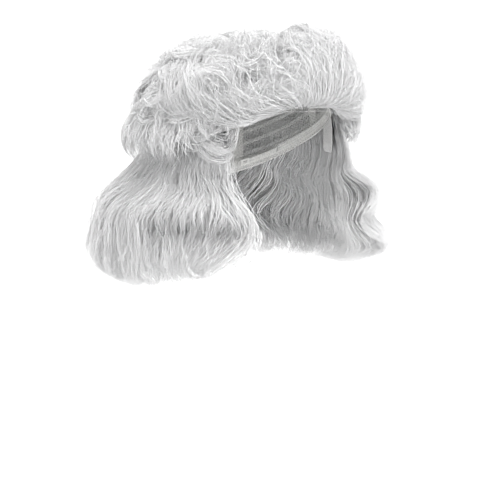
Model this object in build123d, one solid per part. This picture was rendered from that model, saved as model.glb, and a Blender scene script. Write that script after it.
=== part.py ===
from build123d import *
import os
from math import cos, radians, sin

# A puffy, curled costume wig on its open cap, in millimetres.
# The origin is the centre of the wearer's head at its widest level. The wig faces -Y, +Z is up
# and the wearer's left is +X. The cap is drawn up by its elastic, so it is round in plan.
# Angles are counted about the Z axis, from the front towards +X.

# The head that the cap fits: a dome on a straight skirt, 553 mm round.
HEAD_RADIUS = 88.0
DOME_LEVEL = 8.0
CAP_BOTTOM = -75.0

# The cap's layers, as distances outwards from the head.
NET_LAYER = (0.0, 0.8)
BAND_LAYER = (0.0, 1.4)
RIBBON_LAYER = (0.9, 1.9)
WEFT_LAYER = (2.0, 3.2)
HAIR_START = 3.5
LOOP_LAYER = (-1.2, -0.3)
LABEL_LAYER = (-1.0, -0.3)
STRAP_LAYER = (-3.4, -2.8)
HOOK_LAYER = (-3.8, -2.6)

# The cap's rim is a plane that climbs from the nape to the forehead.
# Heights above the rim are counted along Z.
RIM_SLOPE = 0.55
BAND_HEIGHT = 14.0
BAND_SEAM = 68.0
PATCH_HEIGHT = 99.0
WEFT_COUNT = 8
WEFT_FIRST = 3.0
WEFT_PITCH = 12.5
WEFT_HEIGHT = 4.0

# Elastic ribbons climb from the band to the crown patch.
RIBBON_HALF = 6.0
BACK_RIBBON_X = 44.0
SEAM_GAP = 0.2

# Ear tabs hang from the rim in front of the ears.
EAR_TAB_ANGLES = (59.0, 77.0)
EAR_TAB_BOTTOM = -14.0
EAR_TAB_GAP = 2.0

# The nape adjusters, each an elastic strap, a hook and the loops that the hook can go in.
STRAP_ANGLES = (120.0, 141.4)
HOOK_ANGLES = (141.7, 148.0)
HOOK_WINDOW_ANGLES = (143.3, 146.4)
HOOK_WINDOW_BAND = (5.5, 8.5)
STRAP_BAND = (4.0, 10.0)
LOOP_ANGLES = (149.5, 154.0, 158.5)
LOOP_HALF_ANGLE = 0.8
LOOP_BAND = (3.0, 11.0)
LABEL_HALF = 13.0
LABEL_BAND = (2.0, 17.0)

# The upper tier is a ball cut off at the ledge, and the lower tier a rounded bell behind it.
UPPER_RADIUS = 127.0
UPPER_LEVEL = -6.0
UPPER_SHIFT = 3.0
CROWN_LEVEL = 80.0
LEDGE_LEVEL = -11.0
LOWER_SHIFT = 15.0
CURTAIN_TOP = -18.0
CURTAIN_BOTTOM = -152.0
CURTAIN_TOP_RADIUS = 108.0
CURTAIN_BULGE = (159.0, -100.0)
CURTAIN_BOTTOM_RADIUS = 138.0
WAVE_LEVEL = -86.0

# The rolled front, a round section turned about the head.
ROLL_RADIUS = 100.0
ROLL_LEVEL = 82.0
ROLL_SECTION = 41.0
ROLL_EDGE = 50.0
ROLL_PART = 17.0

# Hair is parted at these angles, with a narrow gap at each parting.
SIDE_END = 125.0
PART_GAP = 0.3
FAR = 400.0


def head_form(offset, bottom=CAP_BOTTOM):
    """The head grown by an offset: a dome on a straight skirt."""
    radius = HEAD_RADIUS + offset
    height = DOME_LEVEL - bottom
    skirt = Pos(0, 0, DOME_LEVEL - height / 2) * Cylinder(radius, height)
    return skirt + Pos(0, 0, DOME_LEVEL) * Sphere(radius)


def cap_layer(layer):
    """The space between two offsets of the head."""
    inner, outer = layer
    return head_form(outer) - head_form(inner, CAP_BOTTOM - 1)


def above_rim(low, high):
    """The slab between two planes parallel to the rim."""
    rise = FAR * RIM_SLOPE
    outline = [(-FAR, rise + low), (FAR, low - rise), (FAR, high - rise), (-FAR, rise + high)]
    with BuildPart() as slab:
        with BuildSketch(Plane.YZ):
            with BuildLine():
                Polyline(*outline, close=True)
            make_face()
        extrude(amount=FAR, both=True)
    return slab.part


def sector(start, end, low=-FAR, high=FAR, gap=0.0):
    """An upright wedge about the Z axis, moved outwards to leave a gap on both its faces."""
    middle = radians((start + end) / 2)
    shift = gap / sin(radians((end - start) / 2))
    apex = (shift * sin(middle), -shift * cos(middle))
    corners = [apex]
    steps = 4
    for step in range(steps + 1):
        angle = radians(start + (end - start) * step / steps)
        corners.append((apex[0] + FAR * sin(angle), apex[1] - FAR * cos(angle)))
    with BuildPart() as wedge:
        with BuildSketch(Plane.XY.offset(low)):
            with BuildLine():
                Polyline(*corners, close=True)
            make_face()
        extrude(amount=high - low)
    return wedge.part


def block(x_range, y_range):
    """An upright block between two X and two Y planes."""
    size_x = x_range[1] - x_range[0]
    size_y = y_range[1] - y_range[0]
    return Pos(sum(x_range) / 2, sum(y_range) / 2, 0) * Box(size_x, size_y, 2 * FAR)


def both_sides(name, part):
    """A part on the wearer's left and its mirror image on the right."""
    return {f"{name}_left": part, f"{name}_right": mirror(part, about=Plane.YZ)}


def cap_net():
    """The fine net that lines the cap above its band."""
    return cap_layer(NET_LAYER) & above_rim(BAND_HEIGHT, FAR)


def cap_bands():
    """The elastic edge band, in a front part and a nape part sewn end to end above the ears."""
    ring = cap_layer(BAND_LAYER) & above_rim(0, BAND_HEIGHT)
    return {
        "front_hairline_band": ring & sector(-BAND_SEAM, BAND_SEAM, gap=SEAM_GAP),
        "nape_band": ring & sector(BAND_SEAM, 360 - BAND_SEAM),
    }


def crown_patch():
    """The closed patch where the highest weft ends."""
    return cap_layer(RIBBON_LAYER) & above_rim(PATCH_HEIGHT, FAR)


def ribbon(x_range, y_range):
    """One elastic ribbon from the band to the crown patch."""
    strip = cap_layer(RIBBON_LAYER) & block(x_range, y_range)
    return strip & above_rim(BAND_HEIGHT, PATCH_HEIGHT - SEAM_GAP)


def ribbons():
    """The ribbons that the wefts are sewn to."""
    back_x = (BACK_RIBBON_X - RIBBON_HALF, BACK_RIBBON_X + RIBBON_HALF)
    middle_x = (-RIBBON_HALF, RIBBON_HALF)
    edge = RIBBON_HALF + SEAM_GAP
    parts = {
        "front_ribbon": ribbon(middle_x, (-FAR, -edge)),
        "centre_back_ribbon": ribbon(middle_x, (edge, FAR)),
    }
    parts.update(both_sides("back_ribbon", ribbon(back_x, (edge, FAR))))
    parts.update(both_sides("side_ribbon", ribbon((edge, FAR), middle_x)))
    return parts


def wefts():
    """The sewn tracks that hold the hair, one ring above the other."""
    layer = cap_layer(WEFT_LAYER)
    parts = {}
    for row in range(WEFT_COUNT):
        low = WEFT_FIRST + row * WEFT_PITCH
        parts[f"weft_{row + 1}"] = layer & above_rim(low, low + WEFT_HEIGHT)
    return parts


def ear_tab():
    """The tab that hangs in front of the left ear."""
    strip = cap_layer(BAND_LAYER) & sector(*EAR_TAB_ANGLES, low=EAR_TAB_BOTTOM)
    return strip & above_rim(-FAR, -EAR_TAB_GAP)


def adjuster_strap():
    """The elastic strap sewn inside the cap behind the left ear."""
    return cap_layer(STRAP_LAYER) & above_rim(*STRAP_BAND) & sector(*STRAP_ANGLES)


def adjuster_hook():
    """The flat hook on the end of the strap, with its window."""
    plate = cap_layer(HOOK_LAYER) & above_rim(*STRAP_BAND) & sector(*HOOK_ANGLES)
    window = above_rim(*HOOK_WINDOW_BAND) & sector(*HOOK_WINDOW_ANGLES)
    return plate - window


def adjuster_loops():
    """The loops that the hook can go in, from the loosest to the tightest."""
    layer = cap_layer(LOOP_LAYER) & above_rim(*LOOP_BAND)
    loops = []
    for angle in LOOP_ANGLES:
        loops.append(layer & sector(angle - LOOP_HALF_ANGLE, angle + LOOP_HALF_ANGLE))
    return Part() + loops


def care_label():
    """The blank label sewn inside the nape."""
    piece = cap_layer(LABEL_LAYER) & block((-LABEL_HALF, LABEL_HALF), (0, FAR))
    return piece & above_rim(*LABEL_BAND)


def front_roll(grow=0.0):
    """The full ring of the rolled front."""
    return Pos(0, 0, ROLL_LEVEL) * Torus(ROLL_RADIUS, ROLL_SECTION + grow)


def upper_hair():
    """The crown, the curled upper tier and the rolled front."""
    core = head_form(HAIR_START)
    tier = Pos(0, UPPER_SHIFT, UPPER_LEVEL) * Sphere(UPPER_RADIUS) - core
    below = CROWN_LEVEL - PART_GAP
    roll = front_roll() - core
    roll_room = front_roll(PART_GAP) & sector(-ROLL_EDGE, ROLL_EDGE, gap=-PART_GAP)
    crown_slab = Pos(0, 0, CROWN_LEVEL + FAR / 2) * Box(FAR, FAR, FAR)
    side = tier & sector(ROLL_EDGE, SIDE_END, LEDGE_LEVEL, below, PART_GAP)
    parts = {
        "crown_curls": (tier & crown_slab) - roll_room,
        "upper_curls_back": tier & sector(SIDE_END, 360 - SIDE_END, LEDGE_LEVEL, below),
        "front_roll_centre": roll & sector(-ROLL_PART, ROLL_PART),
    }
    parts.update(both_sides("upper_curls", side))
    parts.update(both_sides("front_roll", roll & sector(ROLL_PART, ROLL_EDGE, gap=PART_GAP)))
    return parts


def bell():
    """The rounded outer form of the hanging hair."""
    with BuildPart() as form:
        with BuildSketch(Plane.XZ):
            with BuildLine():
                top = (CURTAIN_TOP_RADIUS, CURTAIN_TOP)
                bottom = (CURTAIN_BOTTOM_RADIUS, CURTAIN_BOTTOM)
                ThreePointArc(top, CURTAIN_BULGE, bottom)
                Polyline(top, (0, CURTAIN_TOP), (0, CURTAIN_BOTTOM), bottom)
            make_face()
        revolve(axis=Axis.Z)
    return Pos(0, LOWER_SHIFT, 0) * form.part


def lower_hair():
    """The hanging hair, a tier of long waves over a tier of curled ends."""
    tier = bell() - head_form(HAIR_START, CURTAIN_BOTTOM - 1)
    waves = (WAVE_LEVEL, CURTAIN_TOP + 1)
    curls = (CURTAIN_BOTTOM - 1, WAVE_LEVEL - PART_GAP)
    parts = {
        "back_waves": tier & sector(SIDE_END, 360 - SIDE_END, *waves),
        "back_curls": tier & sector(SIDE_END, 360 - SIDE_END, *curls),
    }
    parts.update(both_sides("side_waves", tier & sector(ROLL_EDGE, SIDE_END, *waves, PART_GAP)))
    parts.update(both_sides("side_curls", tier & sector(ROLL_EDGE, SIDE_END, *curls, PART_GAP)))
    return parts


def main():
    parts = {"cap_net": cap_net(), "crown_patch": crown_patch(), "care_label": care_label()}
    parts.update(cap_bands())
    parts.update(ribbons())
    parts.update(wefts())
    parts.update(both_sides("ear_tab", ear_tab()))
    parts.update(both_sides("adjuster_strap", adjuster_strap()))
    parts.update(both_sides("adjuster_hook", adjuster_hook()))
    parts.update(both_sides("adjuster_loops", adjuster_loops()))
    parts.update(upper_hair())
    parts.update(lower_hair())
    os.makedirs("parts", exist_ok=True)
    for name, part in parts.items():
        export_step(part, f"parts/{name}.step")


main()
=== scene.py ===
import math
import bpy
import numpy as np
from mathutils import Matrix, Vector


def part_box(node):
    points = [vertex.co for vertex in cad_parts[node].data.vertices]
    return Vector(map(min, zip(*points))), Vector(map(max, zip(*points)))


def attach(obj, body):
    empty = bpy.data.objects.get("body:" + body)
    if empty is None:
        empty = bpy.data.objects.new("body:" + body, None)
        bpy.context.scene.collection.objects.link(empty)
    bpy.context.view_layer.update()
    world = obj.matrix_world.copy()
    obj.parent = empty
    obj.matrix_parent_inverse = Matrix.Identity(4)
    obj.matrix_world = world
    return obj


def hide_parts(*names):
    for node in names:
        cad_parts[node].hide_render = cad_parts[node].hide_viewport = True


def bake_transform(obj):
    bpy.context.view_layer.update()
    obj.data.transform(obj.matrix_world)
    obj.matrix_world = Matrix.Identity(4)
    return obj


# A white, curled costume wig on its open cap. The hair is made as locks: a centre line for each
# lock, then separate fibres about it, each a thin closed tube. Lengths are in metres.
# Angles are in degrees about the Z axis, counted from the front (-Y) towards the wearer's left (+X).

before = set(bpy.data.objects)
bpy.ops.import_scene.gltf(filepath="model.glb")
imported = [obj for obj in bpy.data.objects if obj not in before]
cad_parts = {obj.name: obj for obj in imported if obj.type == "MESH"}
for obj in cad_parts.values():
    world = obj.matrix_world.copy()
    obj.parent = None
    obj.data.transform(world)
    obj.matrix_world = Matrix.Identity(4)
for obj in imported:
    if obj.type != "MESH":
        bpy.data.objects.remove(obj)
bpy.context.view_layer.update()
rng = np.random.default_rng(20240611)
MM = 0.001
SIDES = (("left", 1), ("right", -1))
WHITE = (1, 1, 1)


# ---------------------------------------------------------------- camera, stage and light

CAMERA_AZIMUTH = -38.0
CAMERA_DISTANCE = 1.50
CAMERA_HEIGHT = 0.140
CAMERA_PITCH = 9.3
CAMERA_YAW = 0.36
CAMERA_LENS = 107.0
CAMERA_SENSOR = 36.0
FLOOR_LEVEL = -0.33
FLOOR_RADIUS = 2.6
BACKDROP_BEND = 1.6
BACKDROP_TOP = 5.0
FLOOR_COLOR = (0.97, 0.97, 0.97)
FLOOR_ROUGHNESS = 0.9
SKY_STRENGTH = 1.5
# Each lamp's place, the width of its disc and its power in watts.
LAMPS = {"key": ((0.2, -1.7, 1.9), 0.9, 38), "top": ((0.1, 0.5, 2.3), 1.4, 16)}


def add_camera():
    angle = math.radians(CAMERA_AZIMUTH)
    back = Vector((math.sin(angle), -math.cos(angle), 0))
    camera = bpy.data.objects.new("camera", bpy.data.cameras.new("camera"))
    camera.data.lens = CAMERA_LENS
    camera.data.sensor_width = CAMERA_SENSOR
    camera.location = back * CAMERA_DISTANCE + Vector((0, 0, CAMERA_HEIGHT))
    camera.rotation_euler = (
        math.radians(90 - CAMERA_PITCH), 0, math.radians(CAMERA_AZIMUTH + CAMERA_YAW))
    bpy.context.collection.objects.link(camera)
    bpy.context.scene.camera = camera


def add_area(name, place, size, power):
    light = bpy.data.lights.new(name, "AREA")
    light.shape = "DISK"
    light.size = size
    light.energy = power
    lamp = bpy.data.objects.new(name, light)
    lamp.location = place
    lamp.rotation_euler = (-Vector(place)).to_track_quat("-Z", "Y").to_euler()
    bpy.context.collection.objects.link(lamp)


def add_stage():
    """A pale floor that curves up into a backdrop all round the object."""
    around_count = 48
    bend_steps = 12
    profile = [(FLOOR_RADIUS * 0.5, 0.0), (FLOOR_RADIUS, 0.0)]
    for step in range(1, bend_steps + 1):
        turn = math.radians(90 * step / bend_steps)
        bend = BACKDROP_BEND * math.sin(turn)
        profile.append((FLOOR_RADIUS + bend, BACKDROP_BEND * (1 - math.cos(turn))))
    profile.append((FLOOR_RADIUS + BACKDROP_BEND, BACKDROP_TOP))
    verts = [(0, 0, FLOOR_LEVEL)]
    for radius, height in profile:
        for step in range(around_count):
            around = 2 * math.pi * step / around_count
            verts.append((radius * math.cos(around), radius * math.sin(around), FLOOR_LEVEL + height))
    faces = [(0, 1 + step, 1 + (step + 1) % around_count) for step in range(around_count)]
    for level in range(len(profile) - 1):
        for step in range(around_count):
            a = 1 + level * around_count + step
            b = 1 + level * around_count + (step + 1) % around_count
            faces.append((a, a + around_count, b + around_count, b))
    mesh = bpy.data.meshes.new("floor")
    mesh.from_pydata(verts, [], faces)
    mesh.polygons.foreach_set("use_smooth", [True] * len(mesh.polygons))
    floor = bpy.data.objects.new("floor", mesh)
    bpy.context.collection.objects.link(floor)
    mesh.materials.append(plain_material("floor_paint", FLOOR_COLOR, FLOOR_ROUGHNESS))


def add_light():
    world = bpy.data.worlds.new("studio")
    world.use_nodes = True
    sky = world.node_tree.nodes["Background"]
    sky.inputs["Color"].default_value = (*WHITE, 1)
    sky.inputs["Strength"].default_value = SKY_STRENGTH
    bpy.context.scene.world = world
    for name, lamp in LAMPS.items():
        add_area(name, *lamp)
    bpy.context.scene.view_settings.view_transform = "Standard"


# ---------------------------------------------------------------- materials

FIBRE_GREY = (0.9, 0.9, 0.903)
FIBRE_WHITE = (0.955, 0.955, 0.955)
FIBRE_ROOT = (0.9, 0.9, 0.903)
FIBRE_STREAK = (0.94, 0.94, 0.943)
FIBRE_GLOSS = (0.3, 0.5)
FIBRE_GLOW = 0.6
FIBRE_GLOW_DEPTH = 2 * MM
# How fast the streaks change across a fibre, along it and from one fibre's tint to another's.
STREAK_SPACING = (9, 3, 60)
NOISE_EDGES = (0.35, 0.65)
CLOTH_AGE = (0.93, 0.93, 0.92)
NYLON_TONES = ((0.78, 0.78, 0.76), (0.88, 0.88, 0.86))


def plain_material(name, color, roughness):
    """A material with a shader and nothing else, for others to build on."""
    material = bpy.data.materials.new(name)
    material.use_nodes = True
    shader_input(material, "Base Color").default_value = (*color, 1)
    shader_input(material, "Roughness").default_value = roughness
    return material


def shader_input(material, name):
    return material.node_tree.nodes["Principled BSDF"].inputs[name]


def add_node(material, kind, **values):
    node = material.node_tree.nodes.new(kind)
    for name, value in values.items():
        setattr(node, name, value)
    return node


def link(material, source, target):
    material.node_tree.links.new(source, target)


def two_tone(material, driver, low, high, low_at=0.0, high_at=1.0):
    """A ramp between two colours, driven by a value between low_at and high_at."""
    ramp = add_node(material, "ShaderNodeValToRGB")
    ramp.color_ramp.elements[0].position = low_at
    ramp.color_ramp.elements[1].position = high_at
    ramp.color_ramp.elements[0].color = (*low, 1)
    ramp.color_ramp.elements[1].color = (*high, 1)
    link(material, driver, ramp.inputs["Fac"])
    return ramp.outputs["Color"]


def texture(material, kind, vector, scale, spacing=None, **values):
    """A procedural texture, on stretched coordinates if a spacing is given."""
    if spacing:
        stretch = add_node(material, "ShaderNodeMapping")
        stretch.inputs["Scale"].default_value = spacing
        link(material, vector, stretch.inputs["Vector"])
        vector = stretch.outputs["Vector"]
    pattern = add_node(material, kind, **values)
    pattern.inputs["Scale"].default_value = scale
    link(material, vector, pattern.inputs["Vector"])
    return pattern


def add_bump(material, height, strength, distance, invert=False):
    """Relief on the material's surface."""
    bump = add_node(material, "ShaderNodeBump", invert=invert)
    bump.inputs["Strength"].default_value = strength
    bump.inputs["Distance"].default_value = distance
    link(material, height, bump.inputs["Height"])
    link(material, bump.outputs["Normal"], shader_input(material, "Normal"))


def hair_material():
    """White synthetic fibre: each fibre has its own tint, fine streaks along it and a greyer root."""
    material = plain_material("white_fibre", (0.85, 0.85, 0.85), 0.4)
    shader_input(material, "Subsurface Weight").default_value = FIBRE_GLOW
    shader_input(material, "Subsurface Radius").default_value = WHITE
    shader_input(material, "Subsurface Scale").default_value = FIBRE_GLOW_DEPTH
    place = add_node(material, "ShaderNodeCombineXYZ")
    values = {}
    for axis, label in (("X", "across"), ("Y", "along"), ("Z", "tint")):
        values[label] = add_node(material, "ShaderNodeAttribute", attribute_name=label).outputs["Fac"]
        link(material, values[label], place.inputs[axis])
    streaks = texture(material, "ShaderNodeTexNoise", place.outputs["Vector"], 1.0, STREAK_SPACING)
    streak = streaks.outputs["Fac"]
    fibre = two_tone(material, values["tint"], FIBRE_GREY, FIBRE_WHITE)
    root = two_tone(material, values["along"], FIBRE_ROOT, WHITE, 0.0, 0.4)
    fine = two_tone(material, streak, FIBRE_STREAK, WHITE, *NOISE_EDGES)
    color = multiplied(material, multiplied(material, fibre, root), fine)
    link(material, color, shader_input(material, "Base Color"))
    add_bump(material, streak, 0.5, 0.25 * MM)
    gloss = add_node(material, "ShaderNodeMapRange")
    gloss.inputs["To Min"].default_value = FIBRE_GLOSS[0]
    gloss.inputs["To Max"].default_value = FIBRE_GLOSS[1]
    link(material, streak, gloss.inputs["Value"])
    link(material, gloss.outputs["Result"], shader_input(material, "Roughness"))
    return material


def multiplied(material, first, second):
    """Two colours multiplied."""
    mix = add_node(material, "ShaderNodeMix", data_type="RGBA", blend_type="MULTIPLY")
    mix.inputs["Factor"].default_value = 1
    link(material, first, mix.inputs["A"])
    link(material, second, mix.inputs["B"])
    return mix.outputs["Result"]


def cloth_material(name, light, dark, scale, stretch, roughness=0.8):
    """Woven or knitted cloth: crossed fine threads in the colour and the bump."""
    material = plain_material(name, light, roughness)
    coords = add_node(material, "ShaderNodeTexCoord").outputs["Object"]
    threads = texture(material, "ShaderNodeTexVoronoi", coords, scale, stretch, feature="F1")
    cloud = texture(material, "ShaderNodeTexNoise", coords, 45)
    weave = two_tone(material, threads.outputs["Distance"], light, dark, 0.15, 0.75)
    age = two_tone(material, cloud.outputs["Fac"], CLOTH_AGE, WHITE, *NOISE_EDGES)
    link(material, multiplied(material, weave, age), shader_input(material, "Base Color"))
    add_bump(material, threads.outputs["Distance"], 0.5, 0.3 * MM, invert=True)
    return material


def nylon_material():
    """Moulded nylon with faint flow marks."""
    material = plain_material("moulded_nylon", (0.84, 0.84, 0.82), 0.3)
    coords = add_node(material, "ShaderNodeTexCoord").outputs["Object"]
    flow = texture(material, "ShaderNodeTexNoise", coords, 320)
    flow.inputs["Distortion"].default_value = 1.2
    color = two_tone(material, flow.outputs["Fac"], *NYLON_TONES, 0.3, 0.7)
    link(material, color, shader_input(material, "Base Color"))
    add_bump(material, flow.outputs["Fac"], 0.15, 0.1 * MM)
    return material


add_camera()
add_stage()
add_light()
hair = hair_material()
net_thread = cloth_material("net_thread", (0.86, 0.86, 0.85), (0.66, 0.66, 0.65), 1600, (1, 1, 1))
elastic = cloth_material("woven_elastic", (0.86, 0.86, 0.84), (0.62, 0.62, 0.61), 1100, (1, 1, 0.45))
backing = cloth_material("close_knit", (0.82, 0.82, 0.81), (0.6, 0.6, 0.6), 900, (1, 1, 1))
track_cloth = cloth_material("sewn_track", (0.84, 0.84, 0.83), (0.5, 0.5, 0.5), 1300, (1, 1, 0.25), 0.6)
satin = cloth_material("satin_tape", (0.9, 0.9, 0.9), (0.78, 0.78, 0.78), 2200, (1, 0.4, 1), 0.35)
thread = cloth_material("sewing_thread", (0.8, 0.8, 0.79), (0.5, 0.5, 0.5), 3000, (1, 1, 1), 0.6)
nylon = nylon_material()


# ---------------------------------------------------------------- mesh tools

def new_piece(name, verts, corners, starts, material):
    """A smooth-shaded mesh object from flat arrays of places, face corners and face starts."""
    mesh = bpy.data.meshes.new(name)
    mesh.vertices.add(len(verts))
    mesh.vertices.foreach_set("co", np.asarray(verts, np.float32).ravel())
    mesh.loops.add(len(corners))
    mesh.loops.foreach_set("vertex_index", np.asarray(corners, np.int32))
    mesh.polygons.add(len(starts))
    mesh.polygons.foreach_set("loop_start", np.asarray(starts, np.int32))
    mesh.update(calc_edges=True)
    mesh.polygons.foreach_set("use_smooth", np.ones(len(starts), bool))
    mesh.materials.append(material)
    piece = bpy.data.objects.new(name, mesh)
    bpy.context.collection.objects.link(piece)
    return piece


def unit(v):
    return v / np.maximum(np.linalg.norm(v, axis=-1, keepdims=True), 1e-9)


def smooth(value, low, high):
    """0 below low, 1 above high, and an even curve between."""
    t = np.clip((value - low) / (high - low), 0, 1)
    return t * t * (3 - 2 * t)


def spline_basis(controls, count):
    """Weights of a clamped cubic B-spline's control points at evenly spread places."""
    degree = 3
    knots = np.concatenate([np.zeros(degree), np.linspace(0, 1, controls - degree + 1), np.ones(degree)])
    t = np.linspace(0, 1 - 1e-9, count)[:, None]
    basis = ((t >= knots[:-1]) & (t < knots[1:])).astype(float)
    for order in range(1, degree + 1):
        rise = knots[order:-1] - knots[:-order - 1]
        fall = knots[order + 1:] - knots[1:-order]
        up = np.where(rise > 0, (t - knots[:-order - 1]) / np.maximum(rise, 1e-9), 0)
        down = np.where(fall > 0, (knots[order + 1:] - t) / np.maximum(fall, 1e-9), 0)
        basis = up * basis[:, :-1] + down * basis[:, 1:]
    return basis


def trimmed(lines, start, end):
    """Lines re-spaced between two shares of their own points. lines is (..., points, dimensions)."""
    count = lines.shape[-2]
    place = start[..., None] + (end - start)[..., None] * np.linspace(0, 1, count)
    place = np.clip(place, 0, 1) * (count - 1)
    low = np.minimum(place.astype(int), count - 2)
    share = (place - low)[..., None]
    first = np.take_along_axis(lines, low[..., None], axis=-2)
    second = np.take_along_axis(lines, low[..., None] + 1, axis=-2)
    return first * (1 - share) + second * share


def from_polar(angle, radius, height, shift=0.0):
    """Places from an angle in radians, a radius about a shifted upright axis, and a height."""
    return np.stack([radius * np.sin(angle), shift - radius * np.cos(angle), height], axis=-1)


def tube_piece(name, lines, normals, half, thin, material):
    """One closed three-sided tube for each line, all in one piece.

    lines is (tubes, points, 3) and half the half widths (tubes, points). thin under 1 flattens
    the tubes along their normals.
    """
    count, points, _ = lines.shape
    along = unit(np.gradient(lines, axis=1))
    side = unit(np.cross(along, normals))
    up = np.cross(side, along)
    rings = []
    for corner in range(3):
        angle = 2 * np.pi * corner / 3 + np.pi / 6
        rings.append(lines + (math.cos(angle) * side + thin * math.sin(angle) * up) * half[..., None])
    verts = np.stack(rings, axis=2).reshape(-1, 3)
    base = (np.arange(count) * points * 3)[:, None, None, None]
    level = (np.arange(points - 1) * 3)[None, :, None, None]
    this = np.arange(3)[None, None, :, None]
    after = (this + 1) % 3
    quads = base + level + np.concatenate([this, after, after + 3, this + 3], axis=3)
    root = np.arange(count)[:, None] * points * 3
    caps = np.concatenate([root + [[2, 1, 0]], root + (points - 1) * 3 + [[0, 1, 2]]])
    corners = np.concatenate([quads.reshape(-1), caps.reshape(-1)])
    quad_count = quads.size // 4
    starts = np.concatenate([np.arange(quad_count) * 4, quad_count * 4 + np.arange(len(caps)) * 3])
    piece = new_piece(name, verts, corners, starts, material)
    values = {
        "tint": np.repeat(rng.uniform(0, 1, count), points * 3),
        "along": np.tile(np.repeat(np.linspace(0, 1, points), 3), count),
        "across": np.tile([0.0, 1.0, 2.0], count * points),
    }
    for label, value in values.items():
        piece.data.attributes.new(label, "FLOAT", "POINT").data.foreach_set("value", value.astype(np.float32))
    lay_out_tubes(piece.data, count, points, corners)
    return piece


def lay_out_tubes(mesh, count, points, corners):
    """A flat map with one narrow strip for each tube, in columns."""
    columns = 4
    rows = math.ceil(count / columns)
    tube = corners // (points * 3)
    level = corners % (points * 3) // 3
    corner = corners % 3
    u = (tube % columns + 0.02 + 0.96 * level / (points - 1)) / columns
    v = (tube // columns + 0.15 + 0.35 * corner) / rows
    layer = mesh.uv_layers.new(name="OFBake")
    layer.uv.foreach_set("vector", np.stack([u, v], axis=1).astype(np.float32).ravel())


# ---------------------------------------------------------------- fibres and strands

FIBRE_HALF_WIDTH = (0.16 * MM, 0.31 * MM)
STRAND_HALF_WIDTH = (0.6 * MM, 1.2 * MM)
STRAND_THIN = 0.4
LOCK_TWIST = 0.25
# The width left at the tips of fibres and strands.
FIBRE_TIP = 0.3
STRAND_TIP = 0.1
# Kinds of lock: the radius at the root, what it gains and then loses, each with the shares of the
# length between which that happens, the range of the locks' sizes, and the shape of the fibres.
HANGING_LOCK = (0.55, (0.45, 0.08, 0.45), (0.55, 0.7, 1.0), (0.7, 1.3),
                {"flat": 0.5, "frizz": 2.2 * MM, "trim": (0.78, 1.0)})
LEDGE_LOCK = (5.5, (0, 0, 1), (2.0, 0.5, 1.0), (0.7, 1.3),
              {"flat": 0.6, "frizz": 0.8 * MM, "trim": (0.75, 1.0)})
CURL_LOCK = (0.6, (0.4, 0, 0.3), (0.5, 0.6, 1.0), (0.6, 1.6),
             {"flat": 0.45, "frizz": 2.0 * MM, "trim": (0.6, 1.0)})
ROLL_LOCK = (4.0, (5.5, 0, 0.5), (4.0, 0.75, 1.0), (0.7, 1.3),
             {"flat": 0.4, "frizz": 1.8 * MM, "trim": (0.7, 1.0)})
ROLL_CURL = (3.5, (2.0, 0, 0.4), (2.5, 0.7, 1.0), (0.6, 1.4),
             {"flat": 0.45, "frizz": 1.8 * MM, "trim": (0.6, 1.0)})


def fibre_piece(name, lines, normals):
    """Single fibres, narrower towards their tips."""
    count, points, _ = lines.shape
    half = rng.uniform(*FIBRE_HALF_WIDTH, (count, 1))
    half = half * (1 - (1 - FIBRE_TIP) * smooth(np.linspace(0, 1, points), 0.55, 1.0))
    return tube_piece(name, lines, normals, half, 1.0, hair)


def strand_piece(name, lines, normals):
    """Flat strands of many fibres, which fill the hair under its loose outer fibres."""
    count, points, _ = lines.shape
    half = rng.uniform(*STRAND_HALF_WIDTH, (count, 1))
    half = half * (1 - (1 - STRAND_TIP) * smooth(np.linspace(0, 1, points), 0.6, 1.0))
    return tube_piece(name, lines, normals, half, STRAND_THIN, hair)


def fill_locks(centres, outward, per_lock, radius, flat, frizz, trim):
    """Fibres about each lock's centre line.

    centres is (locks, points, 3), outward a direction at each point and radius (locks, points).
    flat under 1 spreads the lock over the surface, and trim is the range of the shares of the
    lock's length that its fibres reach.
    """
    locks, points, _ = centres.shape
    along = unit(np.gradient(centres, axis=1))
    side = unit(np.cross(along, outward))
    up = np.cross(side, along)
    t = np.linspace(0, 1, points)
    spread = np.sqrt(rng.uniform(0, 1, (locks, per_lock, 1)))
    turn = rng.uniform(0, 2 * np.pi, (locks, per_lock, 1))
    turn = turn + 2 * np.pi * rng.uniform(-LOCK_TWIST, LOCK_TWIST, (locks, 1, 1)) * t
    phase = rng.uniform(0, 2 * np.pi, (2, locks, per_lock, 1))
    pace = rng.uniform(1.5, 4.5, (2, locks, per_lock, 1)) * 2 * np.pi
    loose = frizz * rng.uniform(0.2, 1.0, (locks, per_lock, 1)) ** 2 * (0.3 + 1.4 * smooth(t, 0, 0.8))
    across = spread * np.cos(turn) * radius[:, None] + loose * np.sin(pace[0] * t + phase[0])
    proud = spread * np.sin(turn) * radius[:, None] * flat + loose * np.sin(pace[1] * t + phase[1])
    lines = centres[:, None] + across[..., None] * side[:, None] + proud[..., None] * up[:, None]
    normals = np.broadcast_to(outward[:, None], lines.shape).reshape(-1, points, 3)
    lines = lines.reshape(-1, points, 3)
    start = rng.uniform(0, 0.05, len(lines))
    return trimmed(lines, start, rng.uniform(*trim, len(lines))), normals


def lock_piece(name, nodes, centres, outward, per_lock, kind, size=MM):
    """Locks of single fibres, which stand for some of the CAD nodes."""
    root, gain, loss, sizes, fibres = kind
    t = np.linspace(0, 1, centres.shape[1])
    radius = size * (root + gain[0] * smooth(t, *gain[1:]) - loss[0] * smooth(t, *loss[1:]))
    radius = radius * uneven(len(centres), *sizes)
    piece = fibre_piece(name, *fill_locks(centres, outward, per_lock, radius, **fibres))
    if nodes:
        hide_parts(*nodes)
    return piece


def uneven(locks, low, high):
    """A share for each lock, between two limits."""
    return rng.uniform(low, high, (locks, 1))


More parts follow.
